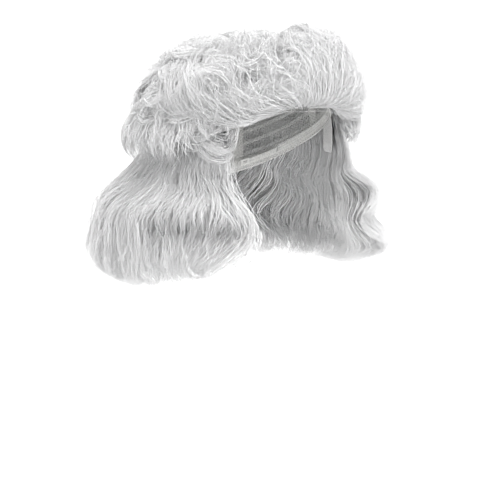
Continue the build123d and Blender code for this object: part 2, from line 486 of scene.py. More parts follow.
def spread_angles(start, end, count):
    """Angles in degrees, one in each equal step between two angles, unevenly placed."""
    return start + (end - start) * (np.arange(count) + rng.uniform(0.1, 0.9, count)) / count


# ---------------------------------------------------------------- the hanging hair

# Side views of a lock's route as (radius, height) in millimetres, from the cap to its curled end:
# on the outside at the sides and back, on the outside at the face, and next to the neck.
LOWER_SHIFT = 15 * MM
SIDE_ROUTE = np.array([(92, 16), (104, 2), (113, -16), (121, -30), (136, -48), (154, -68), (164, -98),
                       (160, -128), (136, -148), (112, -140), (100, -120)]) * MM
FACE_ROUTE = np.array([(92, 30), (98, 12), (103, -6), (110, -24), (132, -40), (142, -60), (146, -80),
                       (154, -104), (150, -126), (124, -134), (106, -118)]) * MM
INNER_ROUTE = np.array([(92, 4), (96, -10), (98, -24), (99, -42), (103, -60), (110, -84), (114, -104),
                        (111, -122), (102, -134), (95, -126), (94, -114)]) * MM
WAVE_PITCH = 54 * MM
WAVE_CREST = -54 * MM
# The locks fan out in degrees either side of one angle, and not at all at the middle of the back.
FAN_CENTRE = 80.0
FAN_REACH = 45.0
FAN_FORWARD = 25.0
FAN_BACK = 14.0
FAN_FADE = (125, 180)
FACE_ANGLES = (52, 92)
ROUTE_SCATTER = 2.2
# Waves that neighbouring locks share: in and out (at the sides and more at the face), and sideways.
HEAVE = 1.5 * MM
HEAVE_AT_FACE = 6.5 * MM
HEAVE_ANGLES = (60, 92)
SWAY = 2.5 * MM
SWING = 6.5 * MM
SWING_PITCH = 78 * MM
# Waves and end curls of each lock alone.
OWN_PITCH = (45 * MM, 100 * MM)
COIL_PITCH = (26 * MM, 42 * MM)
LOCK_COIL = 2.5 * MM
RINGLET = {"coil": 9 * MM, "points": 34, "coil_start": 0.55}
# How deep the locks lie, from 0 outside to 1 at the neck.
OUTER_DEPTH = (0, 0.22)
RINGLET_DEPTH = (0.04, 0.22)
FLYAWAY_DEPTH = (-0.03, 0.12)
INNER_DEPTH = (0.1, 0.5)
NECK_DEPTH = (0.7, 1.05)
NECK_STRAND_DEPTH = (0.6, 0.95)
SIDE_START = 50.0
SIDE_END = 125.0


def hanging_locks(angles, depth, reach, points, coil_size, waver, coil_start=0.7):
    """Centre lines and outward directions of hanging locks. depth is 0 outside and 1 at the neck."""
    locks = len(angles)
    t = np.linspace(0, 1, points)[None]
    signed = (np.asarray(angles) + 180) % 360 - 180
    hand = np.sign(signed)[:, None]
    turned = np.abs(signed)[:, None]
    face = 1 - smooth(turned, *FACE_ANGLES)
    outer = SIDE_ROUTE + face[..., None] * (FACE_ROUTE - SIDE_ROUTE)
    route = outer + depth[:, None, None] * (INNER_ROUTE - outer)
    control = np.arange(len(SIDE_ROUTE))[None, :, None]
    loose = smooth(control, 1, 5) * waver * (1 + 1.2 * smooth(control, 6, 9))
    route = route + rng.normal(0, ROUTE_SCATTER, route.shape) * loose
    path = trimmed(spline_basis(len(SIDE_ROUTE), points) @ route, np.zeros(locks), reach)
    radius, height = path[..., 0], path[..., 1]
    fan = np.clip((turned - FAN_CENTRE) / FAN_REACH, -1, 1) * (1 - smooth(turned, *FAN_FADE))
    fan = np.where(fan < 0, FAN_FORWARD, FAN_BACK) * fan
    sweep = fan * (smooth(t, 0.1, 0.65) - 0.8 * smooth(t, 0.66, 1.0))
    grow = smooth(t, 0.15, 0.4)
    wave = 2 * np.pi * (height - WAVE_CREST) / WAVE_PITCH
    heave = HEAVE + HEAVE_AT_FACE * (1 - smooth(turned + sweep, *HEAVE_ANGLES))
    heave = heave * (1 - 0.5 * depth[:, None]) * grow * np.cos(wave)
    step = np.linalg.norm(np.diff(path, axis=1, prepend=path[:, :1]), axis=2)
    length = 2 * np.pi * np.cumsum(step, axis=1)
    sway = SWAY * np.sin(wave + rng.normal(0, 0.5, (locks, 1)))
    swing = length / SWING_PITCH + 2.5 * np.sin(3 * np.radians(turned)) * hand
    sway = sway + SWING * np.sin(swing + rng.normal(0, 0.45, (locks, 1)))
    own_turn = length / uneven(locks, *OWN_PITCH)
    own_size = uneven(locks, 1.0, 4.0) * waver
    sway = sway + own_size * np.sin(own_turn + uneven(locks, 0, 2 * np.pi))
    coil = smooth(t, coil_start, coil_start + 0.25) * coil_size
    coil_turn = length / uneven(locks, *COIL_PITCH) + uneven(locks, 0, 6.3)
    sway = sway * grow + coil * np.sin(coil_turn) * rng.choice([-1, 1], (locks, 1))
    radius = radius + heave + 0.8 * coil * np.cos(coil_turn)
    turn = (np.radians(signed)[:, None] + np.radians(sweep) * hand) + sway / radius
    shift = LOWER_SHIFT * smooth(-height, 0.0, 0.06)
    centres = from_polar(turn, radius, height, shift)
    slope = unit(np.gradient(path, axis=1))
    outward = [-np.sin(turn) * slope[..., 1], np.cos(turn) * slope[..., 1], slope[..., 0]]
    return centres, unit(np.stack(outward, axis=2))


def hang(piece):
    """Hanging hair, its placement made part of its mesh."""
    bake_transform(piece)


def hanging_fibres(name, body, zone, locks, depth, per_lock, size,
                   nodes=(), coil=LOCK_COIL, points=24, coil_start=0.7):
    """Locks of loose hanging fibres in a zone between two angles."""
    angles = spread_angles(*zone, locks)
    depths = rng.uniform(*depth, locks)
    reach = rng.uniform(0.84, 1.0, locks)
    lines = hanging_locks(angles, depths, reach, points, coil, MM, coil_start)
    hang(lock_piece(name, nodes, *lines, per_lock, HANGING_LOCK, size))


def hanging_strands(name, zone, count, depth):
    """The hanging hair's inner strands."""
    angles = spread_angles(*zone, count)
    rng.shuffle(angles)
    depths = rng.uniform(*depth, count)
    reach = rng.uniform(0.8, 0.97, count)
    lines = hanging_locks(angles, depths, reach, 22, 1.5 * MM, 0.8 * MM)
    hang(strand_piece(name, *lines))


def add_hanging_hair():
    """At the sides and back: outer locks, locks at the neck, ringlets, and strands within."""
    for side, hand in SIDES:
        body = f"side_hair_{side}"
        nodes = [f"side_waves_{side}", f"side_curls_{side}"]
        zone = (hand * SIDE_START, hand * SIDE_END)
        hanging_fibres(f"side_locks_{side}", body, zone, 54, OUTER_DEPTH, 24, 11 * MM, nodes)
        hanging_fibres(f"side_neck_locks_{side}", body, zone, 18, NECK_DEPTH, 20, 9 * MM, points=18)
        hanging_fibres(f"side_ringlets_{side}", body, zone, 34, RINGLET_DEPTH, 12, 3.2 * MM, **RINGLET)
        hanging_strands(f"side_strands_{side}", zone, 480, INNER_DEPTH)
        hanging_strands(f"side_neck_strands_{side}", zone, 200, NECK_STRAND_DEPTH)
    body, zone = "back_hair", (SIDE_END, 360 - SIDE_END)
    nodes = ["back_waves", "back_curls"]
    hanging_fibres("back_locks", body, zone, 66, OUTER_DEPTH, 21, 12 * MM, nodes)
    hanging_fibres("back_neck_locks", body, zone, 26, NECK_DEPTH, 20, 10 * MM, points=18)
    hanging_fibres("back_ringlets", body, zone, 44, RINGLET_DEPTH, 12, 3.2 * MM, **RINGLET)
    hanging_strands("back_strands", zone, 640, INNER_DEPTH)
    hanging_strands("back_neck_strands", zone, 280, NECK_STRAND_DEPTH)


# ---------------------------------------------------------------- the upper tier

UPPER_SHIFT = 3 * MM
UPPER_LEVEL = -6 * MM
UPPER_RADIUS = 124 * MM
SHOULDER_SWELL = 5 * MM
# Neighbouring locks turn together in a swirl.
SWIRL_LOCKS = 6
SWIRL_HALF = 15 * MM
SWIRL_DROP = 5 * MM
CURL_SIZE = 6.5 * MM
TEMPLE_TUCK = 13 * MM
TEMPLE_ANGLES = (52, 80)
TEMPLE_RISE = 24 * MM
TEMPLE_RISE_ANGLES = (52, 78)
FACE_EDGE = math.radians(50)
FACE_PRESS = 0.8
FACE_HEIGHTS = (30 * MM, 60 * MM)
# The golden ratio's share of a turn between one curl and the next scatters them evenly.
GOLDEN_TURN = 0.61803398875
# Zones of the tier as two angles from the front, and of its curls and strands as two sines of height.
SIDE_ZONE = (52, 127)
BACK_ZONE = (123, 237)
TIER_RISE = (0.2, 0.68)
STRAND_RISE = (0.26, 0.7)
LEDGE_ROUTE = np.array([(104, 34), (118, 30), (128, 18), (131, 4), (129, -8), (120, -20)]) * MM


def ledge_row(name, start, end, locks, per_lock):
    """The upper tier's lowest row, nearly straight, its tips turned in over the waist."""
    points = 13
    angles = spread_angles(start, end, locks)
    route = LEDGE_ROUTE + rng.normal(0, 1.3, (locks, *LEDGE_ROUTE.shape)) * MM
    path = trimmed(spline_basis(len(LEDGE_ROUTE), points) @ route, np.zeros(locks),
                   rng.uniform(0.82, 1.0, locks))
    t = np.linspace(0, 1, points)[None]
    signed = ((angles + 180) % 360 - 180)[:, None]
    height = path[..., 1] + TEMPLE_RISE * (1 - smooth(np.abs(signed), *TEMPLE_RISE_ANGLES))
    radius = path[..., 0] - TEMPLE_TUCK * (1 - smooth(np.abs(signed), *TEMPLE_ANGLES))
    lean = rng.normal(0, 0.05, (locks, 1)) * t + 0.02 * np.sin(9 * t + uneven(locks, 0, 6))
    turn = np.radians(signed) + lean
    centres = from_polar(turn, radius, height, UPPER_SHIFT)
    outward = np.stack([np.sin(turn), -np.cos(turn), np.full_like(turn, 0.2)], axis=2)
    if per_lock == 1:
        piece = strand_piece(name, centres - outward * 3 * MM, outward)
    else:
        piece = lock_piece(name, [], centres, outward, per_lock, LEDGE_LOCK)
    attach(piece, "cap")


def ball_directions(count, low_angle, high_angle, low_rise, high_rise):
    """Evenly scattered outward directions in a zone of a ball, between two sines of height."""
    index = np.arange(count) + 0.5
    rise = low_rise + (high_rise - low_rise) * index / count
    rise = np.clip(rise + rng.normal(0, 0.02, count), -0.1, 0.995)
    around = np.radians(low_angle + (high_angle - low_angle) * ((index * GOLDEN_TURN) % 1.0))
    flat = np.sqrt(1 - rise ** 2)
    return np.stack([flat * np.sin(around), -flat * np.cos(around), rise], axis=1)


def kept_from_face(places):
    """Low curls pressed back to the edge of the face opening."""
    angle = np.arctan2(places[..., 0], -places[..., 1])
    radius = np.hypot(places[..., 0], places[..., 1])
    over = np.maximum(FACE_EDGE - np.abs(angle), 0) * (1 - smooth(places[..., 2], *FACE_HEIGHTS))
    return from_polar(angle + FACE_PRESS * np.sign(angle) * over, radius, places[..., 2])


def curl_lines(directions, depth, length, lift, points):
    """C-shaped and S-shaped curls lying on a ball: centre lines and outward directions."""
    count = len(directions)
    swirl = np.arange(count) // SWIRL_LOCKS
    swirls = swirl[-1] + 1
    directions = directions[swirl * SWIRL_LOCKS]
    heading = rng.normal(0, 1.1, swirls)[swirl] + rng.normal(0, 0.2, count)
    turn = (rng.choice([-1.0, 1.0], swirls) * np.radians(rng.uniform(110, 330, swirls)))[swirl]
    turn = turn * rng.uniform(0.85, 1.15, count)
    offset = uneven(count, -SWIRL_HALF, SWIRL_HALF)
    around = unit(np.cross([0, 0, 1.0], directions) + 1e-6)
    down = -np.cross(directions, around)
    down = np.where(down[:, 2:3] > 0, -down, down)
    t = np.linspace(0, 1, points)[None]
    bend = np.where(rng.uniform(0, 1, (swirls, 1)) < 0.25, 4 * t * (1 - t), t ** 1.2)[swirl]
    angle = heading[:, None] + turn[:, None] * bend
    step = (length / (points - 1))[:, None]
    x = np.cumsum(np.cos(angle) * step, axis=1) - offset * np.sin(angle)
    y = np.cumsum(np.sin(angle) * step, axis=1) + offset * np.cos(angle)
    x = x - x.mean(axis=1, keepdims=True)
    y = y - y.mean(axis=1, keepdims=True)
    rise = directions[:, 2]
    sideways = np.abs(np.degrees(np.arctan2(directions[:, 0], -directions[:, 1])))
    ball = UPPER_RADIUS - 6 * MM * smooth(rise, 0.88, 0.99) - depth
    ball = ball + SHOULDER_SWELL * np.exp(-((rise - 0.74) / 0.16) ** 2) * smooth(sideways, 70, 110)
    ball = ball - TEMPLE_TUCK * (1 - smooth(sideways, *TEMPLE_ANGLES)) * (1 - smooth(rise, 0.2, 0.5))
    outward = directions[:, None] * ball[:, None, None]
    outward = unit(outward + x[..., None] * down[:, None] + y[..., None] * around[:, None])
    height = ball[:, None] + lift[:, None] * np.sin(np.pi * t) - 7 * MM * (1 - smooth(t, 0, 0.3))
    height = height - SWIRL_DROP * (offset / SWIRL_HALF) ** 2
    height = height - 4 * MM * smooth(t, 0.75, 1)
    places = np.array([0, UPPER_SHIFT, UPPER_LEVEL]) + outward * height[..., None]
    return kept_from_face(places), outward


def curl_mass(name, nodes, directions, per_lock):
    """A mass of tumbled curls over a zone of the upper tier."""
    count = len(directions)
    depth = rng.uniform(-1, 8, count) * MM
    length = rng.uniform(40, 90, count) * MM
    lines = curl_lines(directions, depth, length, rng.uniform(0, 8, count) * MM, 16)
    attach(lock_piece(name, nodes, *lines, per_lock, CURL_LOCK, CURL_SIZE), "cap")


def curl_strands(name, directions):
    """The strands under a zone of curls."""
    count = len(directions)
    depth = rng.uniform(5, 13, count) * MM
    length = rng.uniform(50, 90, count) * MM
    lines = curl_lines(directions, depth, length, rng.uniform(0, 3, count) * MM, 14)
    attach(strand_piece(name, *lines), "cap")


def add_upper_tier():
    """The lowest row, then curls and the strands under them at the sides, back and crown."""
    for side, hand in SIDES:
        start, end = hand * SIDE_ZONE[0], hand * SIDE_ZONE[1]
        ledge_row(f"ledge_row_{side}", start + hand * 2, end, 46, 17)
        ledge_row(f"ledge_strands_{side}", start + hand * 2, end, 150, 1)
        curl_mass(f"upper_curl_locks_{side}", [f"upper_curls_{side}"],
                  ball_directions(150, start, end, *TIER_RISE), 14)
        curl_strands(f"upper_strands_{side}", ball_directions(440, start + hand * 4, end, *STRAND_RISE))
    ledge_row("ledge_row_back", *BACK_ZONE, 62, 17)
    ledge_row("ledge_strands_back", *BACK_ZONE, 220, 1)
    curl_mass("upper_curl_locks_back", ["upper_curls_back"], ball_directions(155, *BACK_ZONE, *TIER_RISE), 13)
    curl_strands("upper_strands_back", ball_directions(560, *BACK_ZONE, *STRAND_RISE))
    curl_mass("crown_curl_locks_back", ["crown_curls"], ball_directions(100, 90, 270, 0.64, 1.0), 17)
    curl_mass("crown_curl_locks_front", [], ball_directions(110, -90, 90, 0.7, 1.0), 17)
    curl_strands("crown_strands", ball_directions(850, -180, 180, 0.66, 1.0))


# ---------------------------------------------------------------- the front roll

# The roll's section as (radius, height) in millimetres, from the hairline over the top,
# at the middle of the forehead and at the temple.
ROLL_MIDDLE = np.array([(86, 44), (97, 39), (116, 43), (131, 62), (131, 87), (119, 109), (101, 124),
                        (80, 122), (62, 108)]) * MM
ROLL_TEMPLE = np.array([(90, 22), (97, 18), (110, 20), (119, 34), (121, 54), (114, 76), (99, 95), (80, 108),
                        (62, 114)]) * MM
ROLL_HEART = (np.array([96, 82]) * MM, np.array([86, 60]) * MM)
ROLL_WIDTH = 112 * MM
ROLL_LENGTH = 165 * MM
ROLL_TEMPLES = (8, 46)
# The roll's lines fan out from a point under the hairline, a little to one side.
FAN_DROP = 34 * MM
FAN_SIDE = 9 * MM
ROLL_WAVE = 62 * MM
ROLL_HEAVE = 64 * MM
ROLL_SWIRL_BACK = 14 * MM


def roll_surface(side_way, share, depth):
    """Places on the roll from a sideways distance and a share of the section, both arrays."""
    count = 80
    basis = spline_basis(len(ROLL_MIDDLE), count)
    angle = side_way / ROLL_WIDTH
    temple = smooth(np.abs(np.degrees(angle)), *ROLL_TEMPLES)[..., None]
    place = np.clip(share, 0, 1) * (count - 1)
    low = np.minimum(place.astype(int), count - 2)
    part = (place - low)[..., None]
    sections = []
    for route in (ROLL_MIDDLE, ROLL_TEMPLE):
        curve = basis @ route
        sections.append(curve[low] * (1 - part) + curve[low + 1] * part)
    section = sections[0] * (1 - temple) + sections[1] * temple
    start = ROLL_MIDDLE[0, 1] * (1 - temple[..., 0]) + ROLL_TEMPLE[0, 1] * temple[..., 0]
    rim = ROLL_MIDDLE[0, 1] * np.cos(angle)
    section[..., 1] += (rim - start) * (1 - smooth(np.asarray(share), 0.0, 0.35))
    heart = ROLL_HEART[0] * (1 - temple) + ROLL_HEART[1] * temple
    out = unit(section - heart)
    section = section - out * depth[..., None]
    places = from_polar(angle, section[..., 0], section[..., 1])
    outward = np.stack([out[..., 0] * np.sin(angle), -out[..., 0] * np.cos(angle), out[..., 1]], axis=-1)
    return places, unit(outward)


def roll_lines(start, end, count, depths, lengths, points, waver):
    """Centre lines that fan out from the hairline and roll back over the forehead."""
    t = np.linspace(0, 1, points)[None]
    root_x = np.radians(spread_angles(start, end, count))[:, None] * ROLL_WIDTH * 0.8
    root_y = uneven(count, 0, 24) * MM
    ray = np.stack([root_x - FAN_SIDE, root_y + FAN_DROP], axis=2)
    heading = ray / np.linalg.norm(ray, axis=2, keepdims=True)
    travel = uneven(count, *lengths) * MM * t
    lean = smooth(t, 0.45, 1.0) * 0.35 * np.abs(heading[..., 0])
    x = root_x + heading[..., 0] * travel * (1 - lean)
    y = root_y + heading[..., 1] * travel + lean * travel * 0.8
    phase = uneven(count, 0, 2 * np.pi)
    wave = smooth(t, 0.25, 0.7) * 4.0 * waver * np.sin(2 * np.pi * travel / ROLL_WAVE + phase)
    hook = smooth(t, 0.68, 1.0) * uneven(count, -24, 24) * waver
    x = x + (wave + hook) * heading[..., 1]
    y = y - (wave + hook) * heading[..., 0]
    depth = uneven(count, *depths) * MM + 4 * MM * (1 - smooth(t, 0, 0.2))
    depth = depth - 2.5 * waver * np.sin(2 * np.pi * travel / ROLL_HEAVE + phase) * smooth(t, 0.3, 0.7)
    return roll_surface(x, y / ROLL_LENGTH, depth)


def roll_locks(name, nodes, start, end, locks, per_lock):
    """Locks of loose fibres on the roll."""
    lines = roll_lines(start, end, locks, (1, 8), (70, 150), 22, 1.4 * MM)
    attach(lock_piece(name, nodes, *lines, per_lock, ROLL_LOCK), "cap")


def roll_curls(name, start, end, swirls, share_range, per_lock):
    """Swirled curls that lie on the roll, their tips turned over on themselves."""
    points, locks = 15, swirls * SWIRL_LOCKS
    t = np.linspace(0, 1, points)[None]
    swirl = np.arange(locks) // SWIRL_LOCKS
    middle_x = np.radians(spread_angles(start, end, swirls))[swirl] * ROLL_WIDTH
    middle_y = (rng.uniform(*share_range, swirls) * ROLL_LENGTH)[swirl]
    heading = np.arctan2(middle_y + FAN_DROP, middle_x - FAN_SIDE) + rng.normal(0, 0.6, swirls)[swirl]
    turn = (rng.choice([-1.0, 1.0], swirls) * np.radians(rng.uniform(120, 320, swirls)))[swirl]
    offset = uneven(locks, -SWIRL_HALF, SWIRL_HALF) * 0.8
    angle = heading[:, None] + turn[:, None] * (t ** 1.3 - 0.4)
    step = uneven(locks, 38, 72) * MM / (points - 1)
    x = middle_x[:, None] + np.cumsum(np.cos(angle) * step, axis=1) - offset * np.sin(angle)
    y = middle_y[:, None] + np.cumsum(np.sin(angle) * step, axis=1) + offset * np.cos(angle)
    x = x - ROLL_SWIRL_BACK * np.cos(heading)[:, None]
    y = y - ROLL_SWIRL_BACK * np.sin(heading)[:, None]
    depth = uneven(locks, -1, 4) * MM + SWIRL_DROP * (offset / SWIRL_HALF) ** 2
    depth = depth + 6 * MM * (1 - smooth(t, 0, 0.35)) + 3 * MM * smooth(t, 0.7, 1)
    lines = roll_surface(x, y / ROLL_LENGTH, depth)
    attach(lock_piece(name, [], *lines, per_lock, ROLL_CURL), "cap")


def add_flyaways():
    """Single fibres that stand off the crown, the roll and the hanging hair."""
    count = 260
    directions = ball_directions(count, -180, 180, 0.1, 1.0)
    depth = rng.uniform(-5, 2, count) * MM
    length = rng.uniform(25, 60, count) * MM
    lines = curl_lines(directions, depth, length, rng.uniform(1, 6, count) * MM, 12)
    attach(fibre_piece("crown_flyaways", *lines), "cap")
    lines = roll_lines(-60, 60, 220, (-4, 1), (120, 175), 20, 1.6 * MM)
    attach(fibre_piece("roll_flyaways", *lines), "cap")
    zones = [(f"side_hair_{side}", hand * SIDE_START, hand * SIDE_END, 150) for side, hand in SIDES]
    zones.append(("back_hair", SIDE_END, 360 - SIDE_END, 170))
    for body, *zone, count in zones:
        angles = spread_angles(*zone, count)
        depth = rng.uniform(*FLYAWAY_DEPTH, count)
        reach = rng.uniform(0.75, 1.0, count)
        lines = hanging_locks(angles, depth, reach, 26, 4 * MM, 2.2 * MM)
        hang(fibre_piece(f"{body}_flyaways", *lines))


def add_front_roll():
    """Locks, curls over them, strands under them, and short fibres along the hairline."""
    for part, *zone in (("centre", -20, 20, 44), ("left", 18, 60, 46), ("right", -60, -18, 46)):
        roll_locks(f"front_roll_locks_{part}", [f"front_roll_{part}"], *zone, 20)
    roll_curls("roll_curls_centre", -24, 24, 16, (0.42, 0.88), 15)
    roll_curls("roll_curls_left", 22, 62, 15, (0.3, 0.88), 15)
    roll_curls("roll_curls_right", -62, -22, 15, (0.3, 0.88), 15)
    lines = roll_lines(-62, 62, 800, (7, 14), (130, 165), 18, 0.8 * MM)
    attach(strand_piece("front_roll_strands", *lines), "cap")
    lines = roll_lines(-58, 58, 700, (0, 5), (18, 40), 9, 0.5 * MM)
    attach(fibre_piece("hairline_fibres", *lines), "cap")


add_hanging_hair()
add_upper_tier()
add_front_roll()
add_flyaways()


# ---------------------------------------------------------------- the cap's form

# The cap fits a dome on a straight skirt. Its layers are distances outwards from that form, and
# its levels are heights above the sloping plane of the rim.
HEAD_RADIUS = 88 * MM
DOME_LEVEL = 8 * MM
RIM_SLOPE = 0.55
BAND_HEIGHT = 14 * MM
BAND_SEAM = 68.0
PATCH_LEVEL = 99 * MM
WEFT_FIRST = 3 * MM
WEFT_PITCH = 12.5 * MM
WEFT_HEIGHT = 4 * MM
WEFT_COUNT = 8
RIBBON_HALF = 6 * MM
BACK_RIBBON_X = 44 * MM
TILT = math.sqrt(1 + RIM_SLOPE ** 2)
CAP_AXIS = np.array([0, RIM_SLOPE, 1]) / TILT
CAP_FRONT = np.array([0, -1, RIM_SLOPE]) / TILT
CAP_LEFT = np.array([1.0, 0, 0])
# Each piece's layers, as distances outward from the cap's surface.
PATCH_LAYERS = (0.95 * MM, 1.8 * MM)
BAND_LAYERS = (0, 1.4 * MM)
RIBBON_LAYERS = (0.95 * MM, 1.85 * MM)
WEFT_LAYERS = (2.0 * MM, 3.2 * MM)
STRAP_LAYERS = (-3.4 * MM, -2.8 * MM)
LOOP_LAYERS = (-0.95 * MM, -0.35 * MM)
LABEL_LAYERS = (-0.9 * MM, -0.35 * MM)
NET_LAYERS = (0.33 * MM, 0.47 * MM)
# The threads of the net and the stitches.
NET_THREADS = 130
NET_THREAD_HALF = 0.37 * MM
THREAD_HALF = 0.28 * MM
# The band, and the ear tabs that fold under it.
BAND_GAP_ANGLE = 0.15
BAND_STITCH_LEVELS = ((12.6 * MM, 1.1 * MM), (1.5 * MM, 0.9 * MM))
EAR_TAB_ANGLES = (59, 77)
EAR_TAB_GAP = 0.3 * MM
EAR_TAB_THICK = 1.4 * MM
EAR_TAB_CORNER = 6 * MM
EAR_TAB_CORNER_SHARE = 0.22
EAR_TAB_FOLD = 68.0
# The adjuster's strap and hook, its loops, and the label; angles from the front and levels above the rim.
STRAP_ANGLES = (120.0, 141.6)
HOOK_ANGLE = 140.5
STRAP_LEVELS = (4 * MM, 10 * MM)
STRAP_STITCH_ANGLES = (119.6, 120.9)
LOOP_ANGLES = (149.5, 154.0, 158.5)
LOOP_HALF_ANGLE = 0.8
LOOP_LEVELS = (3 * MM, 11 * MM)
LABEL_HALF = 13 * MM
LABEL_LEVELS = (2 * MM, 17 * MM)
LABEL_SEAM_ANGLE = 7.8


def rim_point(angle, level, layer):
    """Places on the cap from an upright angle in degrees, a level above the rim and a layer."""
    turn = np.radians(angle)
    level, layer, turn = np.broadcast_arrays(level, layer, turn)
    reach = HEAD_RADIUS + layer
    height = np.zeros(turn.shape)
    for _ in range(40):
        radius = np.sqrt(np.maximum(reach ** 2 - np.maximum(height - DOME_LEVEL, 0) ** 2, 0))
        height = 0.5 * height + 0.5 * (RIM_SLOPE * radius * np.cos(turn) + level)
    return from_polar(turn, radius, height)


def dome_point(around, level, layer):
    """Places on the cap from an angle about its tilted axis, in radians, a level and a layer."""
    around, level, layer = np.broadcast_arrays(around, level, layer)
    reach = (HEAD_RADIUS + layer)[..., None]
    sideways = np.cos(around)[..., None] * CAP_FRONT + np.sin(around)[..., None] * CAP_LEFT
    low, high = np.full(around.shape, 0.001), np.full(around.shape, 2.9)
    for _ in range(30):
        middle = (low + high) / 2
        ray = np.cos(middle)[..., None] * CAP_AXIS + np.sin(middle)[..., None] * sideways
        flat = np.linalg.norm(ray[..., :2], axis=-1, keepdims=True)
        place = ray * np.where(ray[..., 2:] > 0, reach, reach / np.maximum(flat, 1e-6))
        place = place + [0, 0, DOME_LEVEL]
        above = place[..., 2] + RIM_SLOPE * place[..., 1] > level
        low, high = np.where(above, middle, low), np.where(above, high, middle)
    return place


def flat_heart(places):
    """The point of the head's axis that each place faces: the dome's centre, or level with it."""
    heart = np.zeros_like(places)
    heart[..., 2] = np.minimum(np.maximum(places[..., 2], -1.0), DOME_LEVEL)
    return heart


def cloth_piece(name, outer, inner, material, slot, closed=False):
    """A closed piece of cloth from its outer and inner faces, each a grid (across, along, 3)."""
    rows, columns, _ = outer.shape
    verts = np.concatenate([outer.reshape(-1, 3), inner.reshape(-1, 3)])
    size = rows * columns
    steps = columns if closed else columns - 1
    r, c = np.meshgrid(np.arange(rows - 1), np.arange(steps), indexing="ij")
    after = (c + 1) % columns
    a, b = r * columns + c, r * columns + after
    d, e = (r + 1) * columns + c, (r + 1) * columns + after
    quads = [np.stack([a, b, e, d], axis=-1).reshape(-1, 4)]
    quads.append(np.stack([d, e, b, a], axis=-1).reshape(-1, 4) + size)
    c = np.arange(steps)
    after = (c + 1) % columns
    last = (rows - 1) * columns
    quads.append(np.stack([c + size, after + size, after, c], axis=-1))
    quads.append(np.stack([last + c, last + after, last + after + size, last + c + size], axis=-1))
    if not closed:
        r = np.arange(rows - 1) * columns
        quads.append(np.stack([r, r + columns, r + columns + size, r + size], axis=-1))
        r = r + columns - 1
        quads.append(np.stack([r + size, r + columns + size, r + columns, r], axis=-1))
    corners = np.concatenate(quads).reshape(-1)
    piece = new_piece(name, verts, corners, np.arange(len(corners) // 4) * 4, material)
    return piece


def rounded(across, inner, outer, ribs=0, rib_height=0.0):
    """A strip's inner and outer layers at places across it, rounded at its two edges and ribbed."""
    middle, half = (inner + outer) / 2, (outer - inner) / 2
    full = half * np.sqrt(1 - 0.92 * np.abs(2 * across - 1) ** 8)
    rib = rib_height * (1 - np.cos(2 * np.pi * ribs * across)) / 2
    return middle - full + rib, middle + full - rib


def stitches(name, places):
    """Sewing thread along one or more rows of places, (rows, points, 3)."""
    normals = unit(places - flat_heart(places))
    width = np.full(places.shape[:2], THREAD_HALF)
    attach(tube_piece(name, places, normals, width, 1.0, thread), "cap")


def zigzag(angles, level, swing, layer):
    """A zigzag row on the cap, as one row of places."""
    side = np.where(np.arange(len(angles)) % 2 == 0, -1.0, 1.0)
    return rim_point(angles, level + swing * side, layer)[None]


def mirrored(faces, hand):
    """Faces of a piece laid out the other way round on the wearer's right."""
    return faces if hand > 0 else [face[:, ::-1] for face in faces]


def show_as(piece, node):
    """A piece of the cap that stands for a CAD node."""
    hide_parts(node)
    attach(piece, "cap")


# ---------------------------------------------------------------- the cap's pieces

def add_net():
    """The open net: two families of threads that cross at a slant."""
    level = np.linspace(BAND_HEIGHT - 1 * MM, PATCH_LEVEL + 1 * MM, 34)[None]
    polar = np.arccos((level - DOME_LEVEL) / (TILT * HEAD_RADIUS))
    sweep = np.log(np.tan(polar / 2))
    start = 2 * np.pi * np.arange(NET_THREADS)[:, None] / NET_THREADS
    families = []
    for hand, layer in zip((1, -1), NET_LAYERS):
        families.append(dome_point(start + hand * (sweep - sweep[0, 0]), level, layer))
    places = np.concatenate(families)
    normals = unit(places - flat_heart(places))
    width = np.full(places.shape[:2], NET_THREAD_HALF)
    net = tube_piece("cap_net_mesh", places, normals, width, 0.8, net_thread)
    show_as(net, "cap_net")


def add_patch():
    """The closed patch on the crown, with a rolled edge and a stitched ring."""
    columns, rows = 120, 26
    around = np.linspace(0, 2 * np.pi, columns, endpoint=False)[None]
    share = np.linspace(0, 1, rows)[:, None]
    top = DOME_LEVEL + TILT * HEAD_RADIUS
    level = PATCH_LEVEL + (top - PATCH_LEVEL) * (1 - (1 - share) ** 2) * 0.9995
    knit = 0.09 * MM * np.cos(around * 60) * np.cos(share * 70)
    hem = 0.25 * MM * np.exp(-((share - 0.06) / 0.05) ** 2)
    edge = 0.35 * MM * (1 - smooth(share, 0, 0.04))
    outer = dome_point(around, level, PATCH_LAYERS[1] + hem + knit - edge)
    inner = dome_point(around, level, PATCH_LAYERS[0] - hem + knit + edge)
    patch = cloth_piece("crown_patch_cloth", outer, inner, backing, "net_backing", closed=True)
    show_as(patch, "crown_patch")


def add_band(name, node, start, end, count):
    """A length of ribbed elastic edge band."""
    angles = np.linspace(start, end, count)[None]
    share = np.linspace(0, 1, 29)[:, None]
    inner, outer = rounded(share, *BAND_LAYERS, ribs=5, rib_height=0.22 * MM)
    gather = 0.08 * MM * np.cos(np.radians(angles) * 220)
    faces = [rim_point(angles, BAND_HEIGHT * share, layer + gather) for layer in (outer, inner)]
    show_as(cloth_piece(name, *faces, elastic, "elastic"), node)


